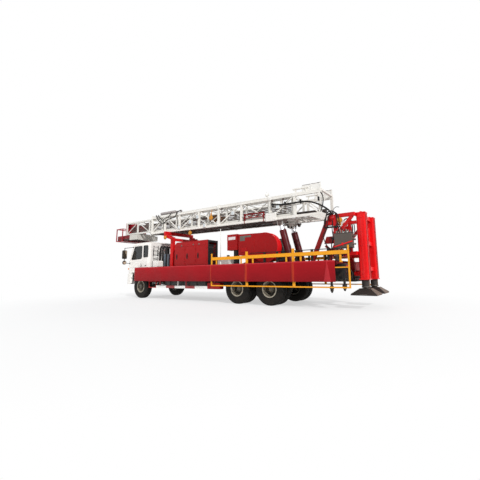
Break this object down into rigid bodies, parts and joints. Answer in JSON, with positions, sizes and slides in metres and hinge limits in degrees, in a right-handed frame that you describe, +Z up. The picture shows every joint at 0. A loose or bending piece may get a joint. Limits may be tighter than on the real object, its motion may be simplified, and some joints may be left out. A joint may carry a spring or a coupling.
{
  "type": "truck-mounted workover rig",
  "caption": "Truck-mounted workover rig with a telescoping lattice mast lying forward over the cab, A-frame, winch, power cabinet and rear jacks.",
  "frame": {"origin": "on the ground under the middle of the rig's box", "axes": "+X forward towards the cab, +Y to the left, +Z up"},
  "size_m": [13.484, 3.1, 4.0059],
  "materials": {
    "chassis_black": "satin black",
    "rig_red": "gloss red",
    "machine_gray": "painted",
    "cab_white": "gloss white",
    "window_glass": "tinted",
    "cab_trim": "matt",
    "black_plastic": "matt",
    "deck_black": "matt",
    "tank_white": "gloss",
    "black_paint": "satin",
    "cabinet_red": "gloss red",
    "bright_red": "gloss red",
    "rail_yellow": "gloss",
    "console_gray": "satin",
    "cloth_red": "plain woven cloth",
    "mast_white": "gloss white",
    "dark_red": "gloss",
    "block_amber": "gloss",
    "maroon": "gloss",
    "rod_chrome": "polished",
    "jack_steel": "worn",
    "drum_steel": "worn",
    "rim_silver": "satin",
    "tyre": "rubber"
  },
  "bodies": {
    "chassis": {"chassis": "chassis_black", "subframe": "rig_red", "axle_front": "chassis_black", "axles_rear": "chassis_black", "driveline": "machine_gray", "cab": "cab_white", "cab_glass": "window_glass", "cab_interior": "cab_trim", "bumper": "cab_white", "mirrors": "black_plastic", "mudguards": "black_plastic", "deck": "deck_black", "air_tank": "tank_white", "intake_stand": "black_paint", "cabinet": "cabinet_red", "power_unit": "machine_gray", "drawworks": "cabinet_red", "front_rest": "bright_red", "a_frame": "bright_red", "rear_columns": "bright_red", "guard_rails": "rail_yellow", "console": "console_gray", "banner": "cloth_red", "side_gear": "black_paint"},
    "mast": {"mast_outer": "mast_white", "extend_barrel": "black_paint"},
    "mast_top": {"mast_inner": "mast_white", "extend_rod": "rod_chrome", "crown": "dark_red", "travelling_block": "block_amber", "racking_board": "dark_red"},
    "ram_barrels": {"ram_barrels": "maroon"},
    "ram_sleeves": {"ram_sleeves": "rod_chrome"},
    "ram_rods": {"ram_rods": "rod_chrome"},
    "jack_left": {"jack_left": "jack_steel"},
    "jack_right": {"jack_right": "jack_steel"},
    "drum": {"drum": "drum_steel"},
    "cab_door_left": {"cab_door_left": "cab_white", "door_glass_left": "window_glass"},
    "cab_door_right": {"cab_door_right": "cab_white", "door_glass_right": "window_glass"},
    "cabinet_door_1": {"cabinet_door_1": "cabinet_red"},
    "cabinet_door_2": {"cabinet_door_2": "cabinet_red"},
    "cabinet_door_3": {"cabinet_door_3": "cabinet_red"},
    "knuckle_left": {"knuckle_left": "chassis_black"},
    "knuckle_right": {"knuckle_right": "chassis_black"},
    "wheel_front_left": {"rim_front_left": "rim_silver", "tyre_front_left": "tyre"},
    "wheel_front_right": {"rim_front_right": "rim_silver", "tyre_front_right": "tyre"},
    "wheel_rear_1_left": {"rim_rear_1_left": "rim_silver", "tyre_rear_1_left": "tyre"},
    "wheel_rear_1_right": {"rim_rear_1_right": "rim_silver", "tyre_rear_1_right": "tyre"},
    "wheel_rear_2_left": {"rim_rear_2_left": "rim_silver", "tyre_rear_2_left": "tyre"},
    "wheel_rear_2_right": {"rim_rear_2_right": "rim_silver", "tyre_rear_2_right": "tyre"}
  },
  "joints": [
    {"name": "mast_raise", "type": "hinge", "parent": "chassis", "child": "mast", "pos_m": [-5.52698, 0, 2.75], "axis": [0, -1, 0], "range_deg": [0, 92]},
    {"name": "mast_extend", "type": "slide", "parent": "mast", "child": "mast_top", "axis": [0.9999, 0, 0.0157], "range_m": [0, 6.5]},
    {"name": "ram_swing", "type": "hinge", "parent": "chassis", "child": "ram_barrels", "pos_m": [-3.97698, 0, 1.225], "axis": [0, -1, 0], "range_deg": [0, 40.77]},
    {"name": "ram_stage_1", "type": "slide", "parent": "ram_barrels", "child": "ram_sleeves", "axis": [0.2483, 0, 0.9687], "range_m": [0, 1.1157]},
    {"name": "ram_stage_2", "type": "slide", "parent": "ram_sleeves", "child": "ram_rods", "axis": [0.2483, 0, 0.9687], "range_m": [0, 1.1157]},
    {"name": "jack_left_lower", "type": "slide", "parent": "chassis", "child": "jack_left", "axis": [0, 0, -1], "range_m": [0, 0.4]},
    {"name": "jack_right_lower", "type": "slide", "parent": "chassis", "child": "jack_right", "axis": [0, 0, -1], "range_m": [0, 0.4]},
    {"name": "winch_turn", "type": "hinge", "parent": "chassis", "child": "drum", "pos_m": [-3.10698, 0, 1.98], "axis": [0, 1, 0], "continuous": true},
    {"name": "cab_door_left_open", "type": "hinge", "parent": "chassis", "child": "cab_door_left", "pos_m": [4.49802, 1.212, 1.2], "axis": [0, 0, -1], "range_deg": [0, 70]},
    {"name": "cab_door_right_open", "type": "hinge", "parent": "chassis", "child": "cab_door_right", "pos_m": [4.49802, -1.212, 1.2], "axis": [0, 0, 1], "range_deg": [0, 70]},
    {"name": "cabinet_door_1_open", "type": "hinge", "parent": "chassis", "child": "cabinet_door_1", "pos_m": [-0.43698, 1.014, 1.5], "axis": [0, 0, 1], "range_deg": [0, 95]},
    {"name": "cabinet_door_2_open", "type": "hinge", "parent": "chassis", "child": "cabinet_door_2", "pos_m": [0.20636, 1.014, 1.5], "axis": [0, 0, 1], "range_deg": [0, 95]},
    {"name": "cabinet_door_3_open", "type": "hinge", "parent": "chassis", "child": "cabinet_door_3", "pos_m": [0.84969, 1.014, 1.5], "axis": [0, 0, 1], "range_deg": [0, 95]},
    {"name": "steer_left", "type": "hinge", "parent": "chassis", "child": "knuckle_left", "pos_m": [3.64802, 0.86, 0.54], "axis": [0, 0, 1], "range_deg": [-32, 32]},
    {"name": "steer_right", "type": "hinge", "parent": "chassis", "child": "knuckle_right", "pos_m": [3.64802, -0.86, 0.54], "axis": [0, 0, 1], "range_deg": [-32, 32]},
    {"name": "wheel_front_left_spin", "type": "hinge", "parent": "knuckle_left", "child": "wheel_front_left", "pos_m": [3.64802, 1.023, 0.54], "axis": [0, 1, 0], "continuous": true},
    {"name": "wheel_front_right_spin", "type": "hinge", "parent": "knuckle_right", "child": "wheel_front_right", "pos_m": [3.64802, -1.023, 0.54], "axis": [0, 1, 0], "continuous": true},
    {"name": "wheel_rear_1_left_spin", "type": "hinge", "parent": "chassis", "child": "wheel_rear_1_left", "pos_m": [-2.10198, 0.903, 0.54], "axis": [0, 1, 0], "continuous": true},
    {"name": "wheel_rear_1_right_spin", "type": "hinge", "parent": "chassis", "child": "wheel_rear_1_right", "pos_m": [-2.10198, -0.903, 0.54], "axis": [0, 1, 0], "continuous": true},
    {"name": "wheel_rear_2_left_spin", "type": "hinge", "parent": "chassis", "child": "wheel_rear_2_left", "pos_m": [-3.45198, 0.903, 0.54], "axis": [0, 1, 0], "continuous": true},
    {"name": "wheel_rear_2_right_spin", "type": "hinge", "parent": "chassis", "child": "wheel_rear_2_right", "pos_m": [-3.45198, -0.903, 0.54], "axis": [0, 1, 0], "continuous": true}
  ],
  "couplings": [
    {"joint": "ram_swing", "follows": "mast_raise", "ratio": 0.4377},
    {"joint": "ram_stage_1", "follows": "mast_raise", "m_per_rad": 0.6917},
    {"joint": "ram_stage_2", "follows": "mast_raise", "m_per_rad": 0.6917},
    {"joint": "steer_right", "follows": "steer_left", "ratio": 1}
  ]
}
